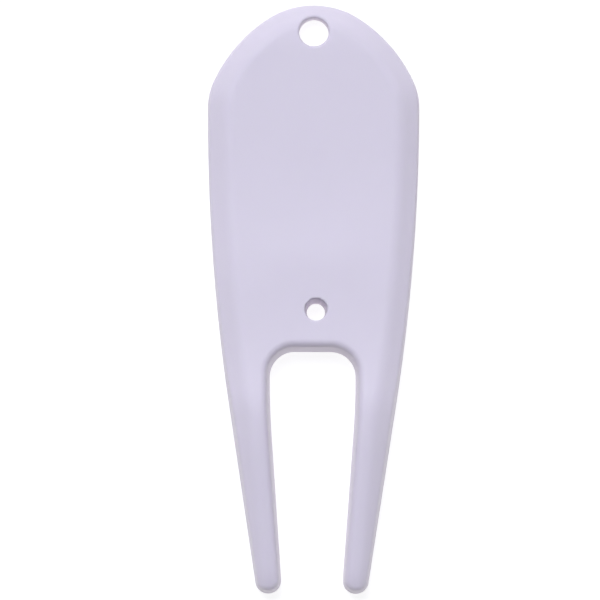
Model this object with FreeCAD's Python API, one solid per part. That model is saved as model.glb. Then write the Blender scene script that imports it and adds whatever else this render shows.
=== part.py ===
"""Divot repair tool: a two-pronged fork moulded in one piece of white plastic.

Millimetres. X runs across the tool, Y along it with the round thumb end at +Y and the prong
tips at -Y, and Z up through its thickness. The flat back lies on Z = 0, and the origin is the
middle of the tool's length and width on that back.

The shape is made as its mould makes it. A plate has the plan outline up to the parting plane
and drafted walls above it, and is cut back to the front surface, which is one smooth face of
heights. The edge radii, the ring hole and the peg hole follow.
"""

import FreeCAD
import Part

import math
import os

from FreeCAD import Vector

# Overall size
LENGTH = 79.5
HALF_WIDTH = 14.2

# Plan outline of one half, from the middle of the round end clockwise: (radius, degrees turned)
APEX_ARC = (11.0, 33.0)
FLANK_ARC = (20.3, 33.0)
SHOULDER_TURN = 24.0
SIDE_ARC = (268.0, 8.7)

# The gap between the prongs: its closed end, and its sides, which draw in by a taper
CROTCH_Y = -7.35
CROTCH_FLAT_HALF = 2.38
CROTCH_CORNER_RADIUS = 3.4
GAP_SIDE_RADIUS = 110.0
GAP_TAPER = 4.0

# Mould: the parting plane, and the draft of the walls above it
PARTING_Z = 0.9
DRAFT = 6.0

# Front surface: (y, height, slope) of the crown from the round end to the tips. It is level
# under the thumb, rises to the peg hole and again to the prongs' roots, and falls to the tips.
CROWN = [
    (41.0, 3.2, 0.0),
    (19.5, 3.2, 0.0),
    (10.5, 3.47, -0.065),
    (7.0, 3.78, -0.11),
    (3.6, 4.05, -0.04),
    (0.5, 4.16, -0.035),
    (-5.4, 4.48, -0.08),
    (-9.5, 4.91, -0.13),
    (-13.0, 5.49, -0.2),
    (-16.5, 5.83, 0.0),
    (-21.0, 5.63, 0.085),
    (-41.0, 3.45, 0.14),
]
END_BEVEL_LENGTH = 7.5
END_BEVEL_DROP = 0.45
TIP_BEVEL_LENGTH = 3.0
TIP_BEVEL_DROP = 0.45

# Front surface: the rise to the peg hole is fuller in the middle. On each side a dish lowers it,
# which sets in between two distances from the middle.
DISH_Y = 4.9
DISH_REACH = 3.5
DISH_DEPTH = 0.14
DISH_FROM = 4.5
DISH_TO = 8.5

# Front surface: the shoulder that runs round the outer edge, and narrows down the prongs. Its
# slope builds up over the first part of its width, then stays the same.
SHOULDER_WIDTH = 3.35
SHOULDER_SLOPE = 0.7
SHOULDER_BLEND = 0.5
SHOULDER_NARROWS_BELOW = -17.0
SHOULDER_NARROWING = 0.085

# Front surface: the lesser shoulder along the prongs' inner sides, which sets in past the crotch
INNER_SHOULDER_WIDTH = 1.7
INNER_SHOULDER_SLOPE = 0.3
INNER_SHOULDER_FROM = -10.5
INNER_SHOULDER_TO = -16.0

# Ring hole
RING_HOLE_Y = 35.8
RING_HOLE_RADIUS = 2.0

# Peg hole: a straight land at the back, then a lead-in that opens towards the front
PEG_HOLE_X = 0.4
PEG_HOLE_Y = -2.03
PEG_LAND_RADIUS = 1.22
PEG_LAND_LENGTH = 0.8
PEG_MOUTH_RADIUS = 1.5

# Edge radii
FRONT_EDGE_RADIUS = 0.9
BACK_EDGE_RADIUS = 0.5
RING_HOLE_EDGE_RADIUS = 0.3
PEG_MOUTH_EDGE_RADIUS = 0.12

# Grid of points that carries the front surface
GRID_STEP = 0.9
GRID_MARGIN = 1.5

# How far the cutting shapes reach past the body, and how near an edge must be to count as found
CLEAR = 12.0
NEAR = 0.1


def turned(angle):
    """Unit vector at an angle in degrees from +X."""
    a = math.radians(angle)
    return Vector(math.cos(a), math.sin(a), 0)


class Arc:
    """An arc of the outline. It turns clockwise, seen from the front, round the material."""

    def __init__(self, start, heading, radius, turn):
        self.centre = start + turned(heading - 90) * radius
        self.radius = radius
        self.first = heading + 90
        self.turn = turn
        self.heading = heading - turn
        self.end = self.centre + turned(self.first - turn) * radius

    def edge(self, inset):
        radius = self.radius - inset
        points = [self.centre + turned(self.first - self.turn * k / 2) * radius for k in range(3)]
        return Part.Arc(*points).toShape()

    def depth(self, point):
        """How far a point lies inside the arc, or None if it isn't opposite the arc."""
        out = point - self.centre
        swept = (self.first - math.degrees(math.atan2(out.y, out.x))) % 360
        return self.radius - out.Length if swept <= self.turn else None


class Hollow:
    """An arc of the gap, which turns anticlockwise with the material outside it."""

    def __init__(self, centre, radius, first, last):
        self.centre = centre
        self.radius = radius
        self.angles = [first, (first + last) / 2, last]
        self.start = centre + turned(first) * radius

    def edge(self, inset):
        radius = self.radius + inset
        return Part.Arc(*[self.centre + turned(a) * radius for a in self.angles]).toShape()


class Line:
    """A straight run of the outline, with the material on the right of its heading."""

    def __init__(self, start, end):
        self.start = start
        self.end = end
        along = (end - start).normalize()
        self.inward = Vector(along.y, -along.x, 0)

    def edge(self, inset):
        shift = self.inward * inset
        return Part.LineSegment(self.start + shift, self.end + shift).toShape()


def tip_circle(outer_start, outer_heading, gap_start, gap_heading):
    """Centre and radius of the circle that touches both sides of a prong and the tool's end."""
    outer_in = turned(outer_heading - 90)
    gap_in = turned(gap_heading + 90)
    end = Vector(0, -LENGTH / 2, 0)
    # the centre is (x, end.y + radius), and its depth inside each side is the radius
    a, b, e = outer_in.x, outer_in.y - 1, (outer_start - end).dot(outer_in)
    c, d, f = gap_in.x, gap_in.y - 1, (gap_start - end).dot(gap_in)
    x = (e * d - b * f) / (a * d - b * c)
    radius = (a * f - e * c) / (a * d - b * c)
    return Vector(x, end.y + radius, 0), radius


def outer_arcs():
    """The arcs of the right half, from the middle of the round end down to the prong."""
    apex = Arc(Vector(0, LENGTH / 2, 0), 0, *APEX_ARC)
    flank = Arc(apex.end, apex.heading, *FLANK_ARC)
    # the shoulder's radius is the one that brings the outline to its full half width
    reach = 1 - math.cos(math.radians(SHOULDER_TURN))
    shoulder_radius = (HALF_WIDTH - flank.end.x) / reach
    shoulder = Arc(flank.end, flank.heading, shoulder_radius, SHOULDER_TURN)
    side = Arc(shoulder.end, shoulder.heading, *SIDE_ARC)
    return [apex, flank, shoulder, side]


def prong_runs(side):
    """The rest of the right half, from the prong's outer side round its tip to the crotch."""
    corner_centre = Vector(CROTCH_FLAT_HALF, CROTCH_Y - CROTCH_CORNER_RADIUS, 0)
    corner = Hollow(corner_centre, CROTCH_CORNER_RADIUS, 0, 90)
    bow_centre = corner.start - Vector(GAP_SIDE_RADIUS, 0, 0)
    bow = Hollow(bow_centre, GAP_SIDE_RADIUS, -GAP_TAPER, 0)
    centre, radius = tip_circle(side.end, side.heading, bow.start, -90 - GAP_TAPER)
    tip_start = centre + turned(side.heading + 90) * radius
    tip = Arc(tip_start, side.heading, radius, 270 + GAP_TAPER + side.heading)
    return [Line(side.end, tip_start), tip, Line(tip.end, bow.start), bow, corner]


OUTER_ARCS = outer_arcs()
PRONG_RUNS = prong_runs(OUTER_ARCS[-1])


def outline(inset, height):
    """The edges of the closed plan outline, moved in by inset, at a height."""
    right = [run.edge(inset) for run in OUTER_ARCS + PRONG_RUNS]
    left = [edge.mirror(Vector(0, 0, 0), Vector(1, 0, 0)) for edge in right]
    level = Vector(0, CROTCH_Y + inset, 0)
    reach = Vector(CROTCH_FLAT_HALF, 0, 0)
    edges = right + left + [Part.LineSegment(level - reach, level + reach).toShape()]
    return [edge.translated(Vector(0, 0, height)) for edge in edges]


def plan_face(edges):
    return Part.Face(Part.Wire(Part.__sortEdges__(edges)))


def depth(x, y):
    """How far a point lies inside the tool's outer side."""
    point = Vector(max(abs(x), 1e-6), y, 0)
    for arc in OUTER_ARCS:
        found = arc.depth(point)
        if found is not None:
            return found
    side = OUTER_ARCS[-1]
    return (point - side.end).dot(turned(side.heading - 90))


def crown(y):
    """Height of the front surface along the middle of the material."""
    span = max(k for k in range(len(CROWN) - 1) if y <= CROWN[k][0] or k == 0)
    y0, z0, slope0 = CROWN[span]
    y1, z1, slope1 = CROWN[span + 1]
    run = y1 - y0
    t = (y - y0) / run
    rise = (z1 - z0) * t * t * (3 - 2 * t)
    rise += slope0 * run * t * (1 - t) ** 2 - slope1 * run * t * t * (1 - t)
    half = LENGTH / 2
    end_bevel = END_BEVEL_DROP * max(0, 1 - (half - y) / END_BEVEL_LENGTH) ** 2
    tip_bevel = TIP_BEVEL_DROP * max(0, 1 - (half + y) / TIP_BEVEL_LENGTH) ** 2
    return z0 + rise - end_bevel - tip_bevel


def gap_depth(x, y):
    """How far a point of a prong lies from the gap's side."""
    point = Vector(abs(x), y, 0)
    straight, bow = PRONG_RUNS[2:4]
    if y > straight.end.y:
        return (point - bow.centre).Length - bow.radius
    return (point - straight.end).dot(straight.inward)


def ease(t):
    """A smooth step from 0 to 1."""
    t = min(max(t, 0), 1)
    return t * t * (3 - 2 * t)


def dish(x, y):
    """How far the dish lowers the front surface."""
    aside = ease((abs(x) - DISH_FROM) / (DISH_TO - DISH_FROM))
    return DISH_DEPTH * aside * math.exp(-((y - DISH_Y) / DISH_REACH) ** 2)


def outer_shoulder(x, y):
    """How far the shoulder round the outer edge lowers the front surface."""
    width = SHOULDER_WIDTH - SHOULDER_NARROWING * max(0, SHOULDER_NARROWS_BELOW - y)
    t = max(0, 1 - depth(x, y) / width)
    blend = SHOULDER_BLEND
    return SHOULDER_SLOPE * width * (t * t / (2 * blend) if t < blend else t - blend / 2)


def inner_shoulder(x, y):
    """How far the shoulder along a prong's inner side lowers the front surface."""
    t = min(max(1 - gap_depth(x, y) / INNER_SHOULDER_WIDTH, 0), 2)
    prong = ease((INNER_SHOULDER_FROM - y) / (INNER_SHOULDER_FROM - INNER_SHOULDER_TO))
    return prong * INNER_SHOULDER_SLOPE * INNER_SHOULDER_WIDTH * t * t / 2


def front_height(x, y):
    return crown(y) - dish(x, y) - outer_shoulder(x, y) - inner_shoulder(x, y)


def front_face():
    """The front surface, through a grid of heights that reaches past the outline."""
    across = HALF_WIDTH + GRID_MARGIN
    along = LENGTH / 2 + GRID_MARGIN
    columns = math.ceil(2 * across / GRID_STEP)
    rows = math.ceil(2 * along / GRID_STEP)
    grid = []
    for i in range(columns + 1):
        x = -across + 2 * across * i / columns
        line = []
        for j in range(rows + 1):
            y = -along + 2 * along * j / rows
            line.append(Vector(x, y, front_height(x, y)))
        grid.append(line)
    surface = Part.BSplineSurface()
    surface.interpolate(grid)
    return surface.toShape()


def drafted_plate():
    """The plan outline from the parting plane up, leaning in by the draft."""
    height = CLEAR / 2
    foot = outline(0, PARTING_Z)
    head = outline(height * math.tan(math.radians(DRAFT)), PARTING_Z + height)
    walls = [Part.makeRuledSurface(low, high) for low, high in zip(foot, head)]
    shell = Part.makeShell([plan_face(foot), plan_face(head)] + walls)
    shell.sewShape()
    return Part.makeSolid(shell)


def plate():
    """The plate before its radii and holes."""
    lower = plan_face(outline(0, 0)).extrude(Vector(0, 0, PARTING_Z))
    below_front = front_face().extrude(Vector(0, 0, -CLEAR))
    return lower.fuse(drafted_plate().common(below_front)).Solids[0]


def front_edges(solid):
    """The edges where the walls meet the front surface, which is the largest face above Z = 0."""
    above = [face for face in solid.Faces if face.CenterOfMass.z > PARTING_Z]
    return max(above, key=lambda face: face.Area).OuterWire.Edges


def back_edges(solid):
    return [edge for edge in solid.Edges if edge.BoundBox.ZMax < NEAR]


def rims(solid, centre, radius):
    """The rims of a round hole: the curved edges that lie within a radius of its axis."""
    found = []
    for edge in solid.Edges:
        box = edge.BoundBox
        reach_x = max(abs(box.XMin - centre.x), abs(box.XMax - centre.x))
        reach_y = max(abs(box.YMin - centre.y), abs(box.YMax - centre.y))
        straight = edge.Curve.TypeId == "Part::GeomLine"
        if max(reach_x, reach_y) < radius and not straight:
            found.append(edge)
    return found


def with_ring_hole(solid):
    centre = Vector(0, RING_HOLE_Y, -CLEAR)
    solid = solid.cut(Part.makeCylinder(RING_HOLE_RADIUS, 2 * CLEAR, centre))
    return solid.makeFillet(RING_HOLE_EDGE_RADIUS, rims(solid, centre, RING_HOLE_RADIUS + NEAR))


def with_peg_hole(solid):
    centre = Vector(PEG_HOLE_X, PEG_HOLE_Y, 0)
    up = Vector(0, 0, PEG_LAND_LENGTH)
    front = front_height(PEG_HOLE_X, PEG_HOLE_Y)
    flare = (PEG_MOUTH_RADIUS - PEG_LAND_RADIUS) / (front - PEG_LAND_LENGTH)
    land = Part.makeCylinder(PEG_LAND_RADIUS, 2 * PEG_LAND_LENGTH, centre - up)
    cone_height = CLEAR / 2
    cone_top = PEG_LAND_RADIUS + flare * cone_height
    cone = Part.makeCone(PEG_LAND_RADIUS, cone_top, cone_height, centre + up)
    solid = solid.cut(land.fuse(cone))
    near = rims(solid, centre, PEG_MOUTH_RADIUS + NEAR)
    mouth = [edge for edge in near if edge.BoundBox.ZMin > front / 2]
    return solid.makeFillet(PEG_MOUTH_EDGE_RADIUS, mouth).Solids[0]


def main():
    solid = plate()
    solid = solid.makeFillet(FRONT_EDGE_RADIUS, front_edges(solid))
    solid = solid.makeFillet(BACK_EDGE_RADIUS, back_edges(solid))
    solid = with_peg_hole(with_ring_hole(solid))
    os.makedirs("parts", exist_ok=True)
    solid.exportStep("parts/divot_tool_body.step")


main()
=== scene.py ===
"""Divot repair tool: the finished look of its one moulded piece, with floor, lights and camera."""

import math

import bpy
import numpy as np
from mathutils import Matrix, Vector


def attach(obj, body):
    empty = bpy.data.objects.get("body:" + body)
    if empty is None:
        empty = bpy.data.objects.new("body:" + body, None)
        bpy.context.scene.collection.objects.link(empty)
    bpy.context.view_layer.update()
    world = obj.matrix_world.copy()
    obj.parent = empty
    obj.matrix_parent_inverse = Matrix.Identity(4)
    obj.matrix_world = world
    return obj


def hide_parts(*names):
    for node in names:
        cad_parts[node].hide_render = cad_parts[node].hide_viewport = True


MM = 0.001

# The tool's own sizes are in millimetres and degrees.

# Plan outline of one half, from the middle of the round end clockwise: arcs as (radius, degrees
# turned)
LENGTH = 79.5
HALF_WIDTH = 14.2
APEX_ARC = (11.0, 33.0)
FLANK_ARC = (20.3, 33.0)
SHOULDER_TURN = 24.0
SIDE_ARC = (268.0, 8.7)

# The gap between the prongs
CROTCH_Y = -7.35
CROTCH_FLAT_HALF = 2.38
CROTCH_CORNER_RADIUS = 3.4
GAP_SIDE_RADIUS = 110.0
GAP_TAPER = 4.0

# Two straight runs are carried on: the crotch across the middle line, and the prong's outer side,
# to a length that takes it well past the tip
CROTCH_PAST_MIDDLE = 1.0
PRONG_SIDE_LENGTH = 60.0

# Walls
PARTING_Z = 0.9
DRAFT = 6.0

# Front surface: (y, height, slope) of the crown from the round end to the tips, the bevels at
# both ends as (drop, length), the dish beside the rise as (y, reach, depth), the shoulder along
# the outer side, and the smaller one along the gap, which is carried on past it to so many widths
CROWN = [
    (41.0, 3.2, 0.0),
    (19.5, 3.2, 0.0),
    (10.5, 3.47, -0.065),
    (7.0, 3.78, -0.11),
    (3.6, 4.05, -0.04),
    (0.5, 4.16, -0.035),
    (-5.4, 4.48, -0.08),
    (-9.5, 4.91, -0.13),
    (-13.0, 5.49, -0.2),
    (-16.5, 5.83, 0.0),
    (-21.0, 5.63, 0.085),
    (-41.0, 3.45, 0.14),
]
END_BEVEL = (0.45, 7.5)
TIP_BEVEL = (0.45, 3.0)
DISH = (4.9, 3.5, 0.14)
DISH_FROM = 4.5
DISH_TO = 8.5
SHOULDER_WIDTH = 3.35
SHOULDER_SLOPE = 0.7
SHOULDER_NARROWS_BELOW = -17.0
SHOULDER_NARROWING = 0.085
SHOULDER_BLEND = 0.5
INNER_SHOULDER_WIDTH = 1.7
INNER_SHOULDER_SLOPE = 0.3
INNER_SHOULDER_FROM = -10.5
INNER_SHOULDER_TO = -16.0
INNER_SHOULDER_MOST = 2

# Holes
RING_HOLE_Y = 35.8
RING_HOLE_RADIUS = 2.0
PEG_HOLE_X = 0.4
PEG_HOLE_Y = -2.03
PEG_LAND_RADIUS = 1.22
PEG_LAND_LENGTH = 0.8
PEG_MOUTH_RADIUS = 1.5

# Edge radii
FRONT_EDGE_RADIUS = 0.9
BACK_EDGE_RADIUS = 0.5
RING_HOLE_EDGE_RADIUS = 0.3
PEG_MOUTH_EDGE_RADIUS = 0.12

# Mould marks: the seam at the parting plane, and the discs that the ejector pins leave in the back
SEAM_HEIGHT = 0.035
SEAM_HALF_WIDTH = 0.07
PIN_MARKS = [(0.0, 24.0), (-8.2, -17.0), (8.2, -17.0)]
PIN_MARK_RADIUS = 1.5
PIN_MARK_DEPTH = 0.05
PIN_MARK_EDGE = 0.3

# Measuring the field: the steps that slopes are taken over, the length that stands in for zero,
# how far the normals of two faces may agree or oppose at an edge, and a depth beyond any other
SLOPE_STEP = 0.02
GRADIENT_STEP = 0.01
TINY = 1e-6
MOST_LEAN = 0.95
FAR_OUTSIDE = -50.0

# Mesh: the grid's cell and its margin round the plan, its layers in height, which are closer at
# the seam, and how its vertices settle on the surface
CELL = 0.24
MARGIN = 0.6
LOWEST_LAYER = -0.3
HIGHEST_LAYER = 6.2
LAYER_BELOW_SEAM = 0.22
SEAM_BAND = 0.2
SEAM_LAYERS = (-0.12, -0.04, 0.04, 0.12)
SETTLING_PASSES = 6
LONGEST_MOVE = 0.1
LEAST_STEEPNESS = 0.2

# Plastic: noises as (scale, detail), the tints at two places on the ramp, the ends of the
# roughness, the grain's bump, and what is the same all over
TINT_NOISE = (70, 3)
TINTS = [(0.3, (0.768, 0.711, 0.785, 1)), (0.7, (0.786, 0.728, 0.802, 1))]
ROUGHNESS_NOISE = (260, 5)
ROUGHNESS = (0.46, 0.56)
GRAIN_NOISE = (2600, 2)
GRAIN_STRENGTH = 0.12
GRAIN_HEIGHT = 0.05 * MM
PLASTIC = {
    "IOR": 1.4,
    "Specular IOR Level": 0.38,
    "Subsurface Weight": 0.25,
    "Subsurface Radius": (1.0, 0.9, 1.1),
    "Subsurface Scale": 0.8 * MM,
}

# Floor: a white sweep that glows a little, just below the flat back, and half its side in metres
FLOOR = {
    "Base Color": (0.3, 0.3, 0.3, 1),
    "Roughness": 0.9,
    "Emission Color": (1, 1, 1, 1),
    "Emission Strength": 0.82,
}
FLOOR_GAP = 0.05 * MM
FLOOR_REACH = 3.0

# Lights: the colour of them all, the sky's strength, and each soft light as (direction, distance
# in metres, side in metres, watts)
SKY = (0.95, 0.975, 1.09)
SKY_STRENGTH = 0.15
KEY_LIGHT = ((-0.19, 0.56, 1.0), 2.0, 1.3, 34.6)
FILL_LIGHT = ((0.85, -0.3, 0.72), 1.2, 1.0, 1.3)

# Camera: degrees that it tips towards the prongs and rolls, the point it looks at, its distance
# in metres, and its lens and sensor in millimetres
CAMERA_TILT = 7.0
CAMERA_ROLL = 0.22
CAMERA_TARGET = (-1.74, -0.38, 1.0)
CAMERA_DISTANCE = 0.7
CAMERA_LENS = 313.11
CAMERA_SENSOR = 36


# ---- plan outline: tangent runs, each with the signed depth of a point inside it ----

def turned(angle):
    """The unit vector at an angle from +X."""
    a = math.radians(angle)
    return np.array([math.cos(a), math.sin(a)])


def arc_run(start, heading, radius, turn):
    """A clockwise arc round the material, and where and in what heading it ends."""
    centre = start + turned(heading - 90) * radius
    first = heading + 90
    run = {"centre": centre, "radius": radius, "first": first, "turn": turn, "side": 1}
    return run, centre + turned(first - turn) * radius, heading - turn


def hollow_run(centre, radius, first, last):
    """An arc of the gap, with the material outside it."""
    return {"centre": centre, "radius": radius, "first": last, "turn": last - first, "side": -1}


def line_run(start, end):
    """A straight run, with the material to its right."""
    length = np.linalg.norm(end - start)
    return {"start": start, "along": (end - start) / length, "length": length}


def tip_circle(outer_start, outer_heading, gap_start, gap_heading):
    """The circle that touches both sides of a prong and the tool's end."""
    outer_in = turned(outer_heading - 90)
    gap_in = turned(gap_heading + 90)
    end = np.array([0, -LENGTH / 2])
    sides = np.array([[outer_in[0], outer_in[1] - 1], [gap_in[0], gap_in[1] - 1]])
    reach = np.array([(outer_start - end) @ outer_in, (gap_start - end) @ gap_in])
    x, radius = np.linalg.solve(sides, reach)
    return np.array([x, end[1] + radius]), radius


def outline_runs():
    """The right half's outline by name, in order from the middle of the round end clockwise."""
    apex, at, heading = arc_run(np.array([0, LENGTH / 2]), 0, *APEX_ARC)
    flank, at, heading = arc_run(at, heading, *FLANK_ARC)
    shoulder_radius = (HALF_WIDTH - at[0]) / (1 - math.cos(math.radians(SHOULDER_TURN)))
    shoulder, at, heading = arc_run(at, heading, shoulder_radius, SHOULDER_TURN)
    side, at, heading = arc_run(at, heading, *SIDE_ARC)

    corner_centre = np.array([CROTCH_FLAT_HALF, CROTCH_Y - CROTCH_CORNER_RADIUS])
    corner = hollow_run(corner_centre, CROTCH_CORNER_RADIUS, 0, 90)
    bow_centre = corner_centre + np.array([CROTCH_CORNER_RADIUS - GAP_SIDE_RADIUS, 0])
    bow = hollow_run(bow_centre, GAP_SIDE_RADIUS, -GAP_TAPER, 0)
    bow_start = bow_centre + turned(-GAP_TAPER) * GAP_SIDE_RADIUS

    centre, radius = tip_circle(at, heading, bow_start, -90 - GAP_TAPER)
    tip_start = centre + turned(heading + 90) * radius
    tip, tip_end, _ = arc_run(tip_start, heading, radius, 270 + GAP_TAPER + heading)
    crotch_end = np.array([CROTCH_FLAT_HALF, CROTCH_Y])
    return {
        "apex": apex,
        "flank": flank,
        "shoulder": shoulder,
        "side": side,
        "prong": line_run(at, tip_start),
        "tip": tip,
        "gap": line_run(tip_end, bow_start),
        "bow": bow,
        "corner": corner,
        "crotch": line_run(crotch_end, np.array([-CROTCH_PAST_MIDDLE, CROTCH_Y])),
    }


OUTLINE = outline_runs()


def run_depth(run, x, y):
    """Depth inside a run, and where the point is opposite the run."""
    if "along" in run:
        dx, dy = x - run["start"][0], y - run["start"][1]
        ax, ay = run["along"]
        along = dx * ax + dy * ay
        return dx * ay - dy * ax, (along >= 0) & (along <= run["length"])
    dx, dy = x - run["centre"][0], y - run["centre"][1]
    swept = (run["first"] - np.degrees(np.arctan2(dy, dx))) % 360
    return run["side"] * (run["radius"] - np.hypot(dx, dy)), swept <= run["turn"]


def plan_depth(x, y):
    """Signed distance inside the plan outline."""
    x = np.maximum(np.abs(x), TINY)
    best = np.full(x.shape, FAR_OUTSIDE)
    for run in OUTLINE.values():
        depth, opposite = run_depth(run, x, y)
        nearer = opposite & (np.abs(depth) < np.abs(best))
        best = np.where(nearer, depth, best)
    return best


def side_depth(x, y):
    """Distance in from the tool's outer side, as if each prong's side ran on past its tip."""
    x = np.maximum(np.abs(x), TINY)
    outer = [OUTLINE[name] for name in ("apex", "flank", "shoulder", "side")]
    best = np.zeros(x.shape)
    for run in outer + [dict(OUTLINE["prong"], length=PRONG_SIDE_LENGTH)]:
        depth, opposite = run_depth(run, x, y)
        best = np.where(opposite, depth, best)
    return best


# ---- the solid, as the distance outside it, which is negative inside, in millimetres ----

def crown(y):
    """Height of the front surface along the middle of the material."""
    knots = np.array(CROWN)
    span = np.clip((y[..., None] <= knots[1:, 0]).sum(-1), 0, len(knots) - 2)
    y0, z0, slope0 = knots[span].transpose(-1, *range(y.ndim))
    y1, z1, slope1 = knots[span + 1].transpose(-1, *range(y.ndim))
    run = y1 - y0
    t = (y - y0) / run
    rise = (z1 - z0) * t * t * (3 - 2 * t)
    rise += slope0 * run * t * (1 - t) ** 2 - slope1 * run * t * t * (1 - t)
    return z0 + rise


def ease(t):
    """A smooth step from 0 to 1."""
    t = np.clip(t, 0, 1)
    return t * t * (3 - 2 * t)


def gap_depth(x, y):
    """Distance in from the gap's side, on a prong."""
    x = np.abs(x)
    bow, line = OUTLINE["bow"], OUTLINE["gap"]
    line_top = line["start"][1] + line["length"] * line["along"][1]
    from_bow = np.hypot(x - bow["centre"][0], y - bow["centre"][1]) - bow["radius"]
    return np.where(y > line_top, from_bow, run_depth(line, x, y)[0])


def bevelled(drop, length, from_end):
    """How far a bevel takes the front surface down at a distance from its end of the tool."""
    return drop * np.maximum(0, 1 - from_end / length) ** 2


def front_height(x, y):
    """Height of the front surface."""
    height = crown(y)
    height -= bevelled(*END_BEVEL, LENGTH / 2 - y)
    height -= bevelled(*TIP_BEVEL, LENGTH / 2 + y)

    dish_y, dish_reach, dish_depth = DISH
    aside = ease((np.abs(x) - DISH_FROM) / (DISH_TO - DISH_FROM))
    height -= dish_depth * aside * np.exp(-((y - dish_y) / dish_reach) ** 2)

    width = SHOULDER_WIDTH - SHOULDER_NARROWING * np.maximum(0, SHOULDER_NARROWS_BELOW - y)
    t = np.maximum(0, 1 - side_depth(x, y) / width)
    blend = SHOULDER_BLEND
    height -= SHOULDER_SLOPE * width * np.where(t < blend, t * t / (2 * blend), t - blend / 2)

    t = np.clip(1 - gap_depth(x, y) / INNER_SHOULDER_WIDTH, 0, INNER_SHOULDER_MOST)
    prong = ease((INNER_SHOULDER_FROM - y) / (INNER_SHOULDER_FROM - INNER_SHOULDER_TO))
    return height - prong * INNER_SHOULDER_SLOPE * INNER_SHOULDER_WIDTH * t * t / 2


def slopes(surface, x, y):
    """A surface's value over the plan, and how steeply it changes along X and Y."""
    value = surface(x, y)
    along_x = (surface(x + SLOPE_STEP, y) - value) / SLOPE_STEP
    along_y = (surface(x, y + SLOPE_STEP) - value) / SLOPE_STEP
    return value, along_x, along_y


def face(outside, x, y, z):
    """A face as the distance outside it and its normal, from a field and the field's gradient."""
    length = np.sqrt(x * x + y * y + z * z)
    return outside / length, (x / length, y / length, z / length)


def rounded(a, b, radius):
    """What two solids share, with a true radius on the edge between them at any angle."""
    outside_a, normal_a = a
    outside_b, normal_b = b
    lean = sum(m * n for m, n in zip(normal_a, normal_b))
    lean = np.clip(lean, -MOST_LEAN, MOST_LEAN)
    p = outside_a + radius
    q = outside_b + radius
    share_a = (p - lean * q) / (1 - lean ** 2)
    share_b = (q - lean * p) / (1 - lean ** 2)
    corner = (share_a > 0) & (share_b > 0)
    reach = np.sqrt(np.maximum(share_a * p + share_b * q, TINY ** 2))
    outside = np.where(corner, reach - radius, np.maximum(outside_a, outside_b))
    normal = tuple(
        np.where(corner, (share_a * m + share_b * n) / reach, np.where(p > q, m, n))
        for m, n in zip(normal_a, normal_b)
    )
    return outside, normal


def back_height(x, y):
    """Height of the back, which is flat apart from the pin marks."""
    height = np.zeros(x.shape)
    for pin_x, pin_y in PIN_MARKS:
        inward = PIN_MARK_RADIUS - np.hypot(x - pin_x, y - pin_y)
        height += PIN_MARK_DEPTH * ease(inward / PIN_MARK_EDGE)
    return height


def wall_face(x, y, z):
    """The walls all round, upright below the parting plane and drafted above it."""
    depth, slope_x, slope_y = slopes(plan_depth, x, y)
    draft = math.tan(math.radians(DRAFT))
    seam = SEAM_HEIGHT * np.exp(-((z - PARTING_Z) / SEAM_HALF_WIDTH) ** 2)
    lean = draft * np.maximum(z - PARTING_Z, 0)
    return face(lean - depth - seam, -slope_x, -slope_y, draft * (z > PARTING_Z))


def ring_hole_face(x, y):
    """The straight wall of the key-ring hole."""
    radius = np.maximum(np.hypot(x, y - RING_HOLE_Y), TINY)
    return face(RING_HOLE_RADIUS - radius, -x / radius, (RING_HOLE_Y - y) / radius, 0.0)


def peg_hole_face(x, y, z):
    """The wall of the small hole, a straight land that opens out to the front."""
    mouth_z = front_height(np.array(PEG_HOLE_X), np.array(PEG_HOLE_Y))
    flare = (PEG_MOUTH_RADIUS - PEG_LAND_RADIUS) / (mouth_z - PEG_LAND_LENGTH)
    bore = PEG_LAND_RADIUS + flare * np.maximum(z - PEG_LAND_LENGTH, 0)
    dx, dy = x - PEG_HOLE_X, y - PEG_HOLE_Y
    radius = np.maximum(np.hypot(dx, dy), TINY)
    return face(bore - radius, -dx / radius, -dy / radius, flare * (z > PEG_LAND_LENGTH))


def solid(x, y, z):
    """Signed distance outside the tool."""
    x, y = np.broadcast_arrays(x, y)
    height, slope_x, slope_y = slopes(front_height, x, y)
    front = face(z - height, -slope_x, -slope_y, 1.0)
    back = face(back_height(x, y) - z, 0.0, 0.0, -1.0)
    shape = rounded(wall_face(x, y, z), front, FRONT_EDGE_RADIUS)
    shape = rounded(shape, back, BACK_EDGE_RADIUS)
    shape = rounded(shape, ring_hole_face(x, y), RING_HOLE_EDGE_RADIUS)
    mouth_edge = PEG_MOUTH_EDGE_RADIUS * (z > PEG_LAND_LENGTH)
    return rounded(shape, peg_hole_face(x, y, z), mouth_edge)[0]


def gradient(points):
    """The field's gradient at points, one row each."""
    columns = []
    for axis in range(3):
        step = np.zeros(3)
        step[axis] = GRADIENT_STEP
        rise = solid(*(points + step).T) - solid(*(points - step).T)
        columns.append(rise / (2 * GRADIENT_STEP))
    return np.stack(columns, 1)


# ---- meshing ----

def levels(low, high, spacing):
    """Evenly spaced values from low to high, about a spacing apart."""
    return np.linspace(low, high, int(round((high - low) / spacing)) + 1)


def height_levels():
    """Layers of the grid, close together at the seam."""
    below = levels(LOWEST_LAYER, PARTING_Z - SEAM_BAND, LAYER_BELOW_SEAM)
    seam = PARTING_Z + np.array(SEAM_LAYERS)
    above = levels(PARTING_Z + SEAM_BAND, HIGHEST_LAYER, CELL)
    return np.concatenate([below, seam, above])


def crossings(grid, field, axis):
    """The grid's edges along an axis that cross the surface, and the points where they do."""
    low = [slice(None)] * 3
    high = [slice(None)] * 3
    low[axis], high[axis] = slice(0, -1), slice(1, None)
    low, high = tuple(low), tuple(high)
    crossed = np.nonzero((field[low] < 0) != (field[high] < 0))
    f0, f1 = field[low][crossed], field[high][crossed]
    t = (f0 / (f0 - f1))[:, None]
    points = grid[low][crossed] * (1 - t) + grid[high][crossed] * t
    return np.stack(crossed, 1), points


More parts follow.
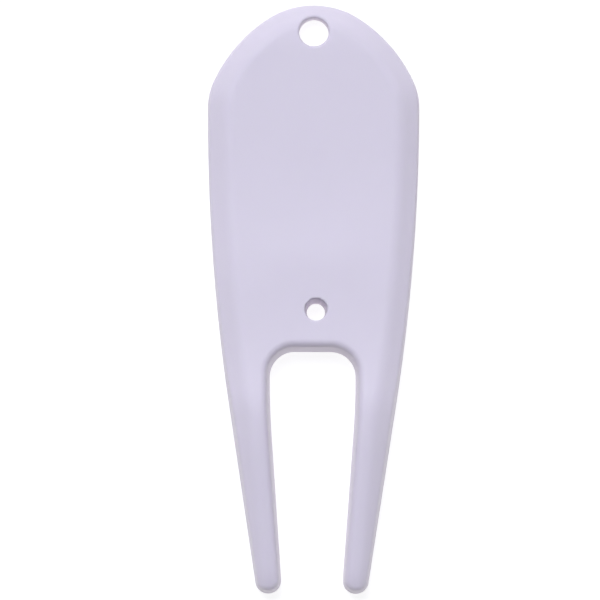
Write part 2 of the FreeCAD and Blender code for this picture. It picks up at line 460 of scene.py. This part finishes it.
def cells_beside(edges, across, offsets):
    """The cells beside each edge, one for each offset along the two axes across it."""
    for offset in offsets:
        cells = edges.copy()
        cells[:, across] += offset
        yield tuple(cells.T)


def settled(vertices):
    """The vertices moved onto the surface along the field's gradient, and their normals."""
    for _ in range(SETTLING_PASSES):
        slope = gradient(vertices)
        steepness = np.maximum((slope ** 2).sum(1), LEAST_STEEPNESS)
        move = -solid(*vertices.T)[:, None] * slope / steepness[:, None]
        vertices = vertices + np.clip(move, -LONGEST_MOVE, LONGEST_MOVE)
    normals = gradient(vertices)
    return vertices, normals / np.linalg.norm(normals, axis=1)[:, None]


def surface_mesh():
    """Vertices, normals and quads of the solid's surface: one vertex in each cell it crosses."""
    xs = levels(-HALF_WIDTH - MARGIN, HALF_WIDTH + MARGIN, CELL)
    ys = levels(-LENGTH / 2 - MARGIN, LENGTH / 2 + MARGIN, CELL)
    zs = height_levels()
    grid = np.stack(np.meshgrid(xs, ys, zs, indexing="ij"), -1)
    field = solid(xs[:, None, None], ys[:, None], zs)

    cells = tuple(n - 1 for n in field.shape)
    total = np.zeros(cells + (3,))
    count = np.zeros(cells)
    edges_by_axis = []
    for axis in range(3):
        edges, points = crossings(grid, field, axis)
        edges_by_axis.append(edges)
        across = [other for other in range(3) if other != axis]
        for cell in cells_beside(edges, across, ((0, 0), (0, -1), (-1, 0), (-1, -1))):
            np.add.at(total, cell, points)
            np.add.at(count, cell, 1)
    used = count > 0
    number = np.full(cells, -1)
    number[used] = np.arange(used.sum())
    vertices, normals = settled(total[used] / count[used][:, None])

    quads = []
    for axis, edges in enumerate(edges_by_axis):
        across = [(axis + 1) % 3, (axis + 2) % 3]
        turning = cells_beside(edges, across, ((0, 0), (-1, 0), (-1, -1), (0, -1)))
        quad = np.stack([number[cell] for cell in turning], 1)
        starts_inside = field[tuple(edges.T)] < 0
        quads.append(np.where(starts_inside[:, None], quad, quad[:, ::-1]))
    return vertices, normals, np.concatenate(quads)


def make_body():
    """The whole tool, shaded by the solid's own normals."""
    vertices, normals, quads = surface_mesh()
    mesh = bpy.data.meshes.new("divot_tool")
    mesh.from_pydata((vertices * MM).tolist(), [], quads.tolist())
    mesh.polygons.foreach_set("use_smooth", [True] * len(mesh.polygons))
    mesh.normals_split_custom_set_from_vertices(normals.tolist())
    body = bpy.data.objects.new("divot_tool", mesh)
    bpy.context.scene.collection.objects.link(body)
    return body


# ---- materials ----

def new_material(name, values):
    """A material whose shader has the values given by socket."""
    material = bpy.data.materials.new(name)
    material.use_nodes = True
    shader = material.node_tree.nodes["Principled BSDF"]
    for socket, value in values.items():
        shader.inputs[socket].default_value = value
    return material


def noise(tree, coords, scale, detail):
    """A noise that keeps its place on the object."""
    texture = tree.nodes.new("ShaderNodeTexNoise")
    texture.inputs["Scale"].default_value = scale
    texture.inputs["Detail"].default_value = detail
    tree.links.new(coords.outputs["Object"], texture.inputs["Vector"])
    return texture.outputs["Fac"]


def plastic():
    """Satin plastic, a little uneven in tint and gloss, with a fine grain."""
    material = new_material("lavender_white_plastic", PLASTIC)
    tree = material.node_tree
    nodes, links = tree.nodes, tree.links
    shader = nodes["Principled BSDF"]
    coords = nodes.new("ShaderNodeTexCoord")

    tint = nodes.new("ShaderNodeValToRGB")
    for element, (position, colour) in zip(tint.color_ramp.elements, TINTS):
        element.position = position
        element.color = colour
    links.new(noise(tree, coords, *TINT_NOISE), tint.inputs["Fac"])
    links.new(tint.outputs["Color"], shader.inputs["Base Color"])

    gloss = nodes.new("ShaderNodeMapRange")
    gloss.inputs["To Min"].default_value, gloss.inputs["To Max"].default_value = ROUGHNESS
    links.new(noise(tree, coords, *ROUGHNESS_NOISE), gloss.inputs["Value"])
    links.new(gloss.outputs["Result"], shader.inputs["Roughness"])

    bump = nodes.new("ShaderNodeBump")
    bump.inputs["Strength"].default_value = GRAIN_STRENGTH
    bump.inputs["Distance"].default_value = GRAIN_HEIGHT
    links.new(noise(tree, coords, *GRAIN_NOISE), bump.inputs["Height"])
    links.new(bump.outputs["Normal"], shader.inputs["Normal"])
    return material


# ---- studio ----

def make_floor():
    """The white floor, a square under the tool."""
    mesh = bpy.data.meshes.new("floor")
    signs = [(-1, -1), (1, -1), (1, 1), (-1, 1)]
    corners = [(a * FLOOR_REACH, b * FLOOR_REACH, -FLOOR_GAP) for a, b in signs]
    mesh.from_pydata(corners, [], [(0, 1, 2, 3)])
    mesh.materials.append(new_material("white_sweep", FLOOR))
    floor = bpy.data.objects.new("floor", mesh)
    bpy.context.scene.collection.objects.link(floor)


def soft_light(name, direction, distance, side, power):
    """A square light that shines on the tool from a direction."""
    light = bpy.data.lights.new(name, "AREA")
    light.size = side
    light.energy = power
    light.color = SKY
    holder = bpy.data.objects.new(name, light)
    towards = Vector(direction).normalized()
    holder.location = towards * distance
    holder.rotation_euler = towards.to_track_quat("Z", "Y").to_euler()
    bpy.context.scene.collection.objects.link(holder)


def make_lights():
    """A large key light over the round end, a weak fill from the right, and a faint sky."""
    soft_light("key", *KEY_LIGHT)
    soft_light("fill", *FILL_LIGHT)
    world = bpy.data.worlds.new("studio")
    world.use_nodes = True
    background = world.node_tree.nodes["Background"]
    background.inputs["Color"].default_value = (*SKY, 1)
    background.inputs["Strength"].default_value = SKY_STRENGTH
    bpy.context.scene.world = world


def make_camera():
    """Looks down on the front, tipped a little towards the prongs."""
    tilt = Matrix.Rotation(math.radians(CAMERA_TILT), 4, "X")
    roll = Matrix.Rotation(math.radians(CAMERA_ROLL), 4, "Z")
    target = Matrix.Translation(Vector(CAMERA_TARGET) * MM)
    back = Matrix.Translation((0, 0, CAMERA_DISTANCE))
    camera = bpy.data.cameras.new("camera")
    camera.sensor_width = CAMERA_SENSOR
    camera.lens = CAMERA_LENS
    holder = bpy.data.objects.new("camera", camera)
    holder.matrix_world = target @ tilt @ roll @ back
    bpy.context.scene.collection.objects.link(holder)
    bpy.context.scene.camera = holder


# ---- build ----

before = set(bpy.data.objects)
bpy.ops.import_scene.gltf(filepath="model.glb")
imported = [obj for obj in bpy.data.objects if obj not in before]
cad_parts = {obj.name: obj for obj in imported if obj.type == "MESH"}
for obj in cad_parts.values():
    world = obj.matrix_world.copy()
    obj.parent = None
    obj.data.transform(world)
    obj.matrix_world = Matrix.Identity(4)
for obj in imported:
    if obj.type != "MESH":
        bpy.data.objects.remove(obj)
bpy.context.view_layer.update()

body = make_body()
body.data.materials.append(plastic())
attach(body, "root")
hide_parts("divot_tool_body")

make_floor()
make_lights()
make_camera()
bpy.context.scene.view_settings.view_transform = "Standard"
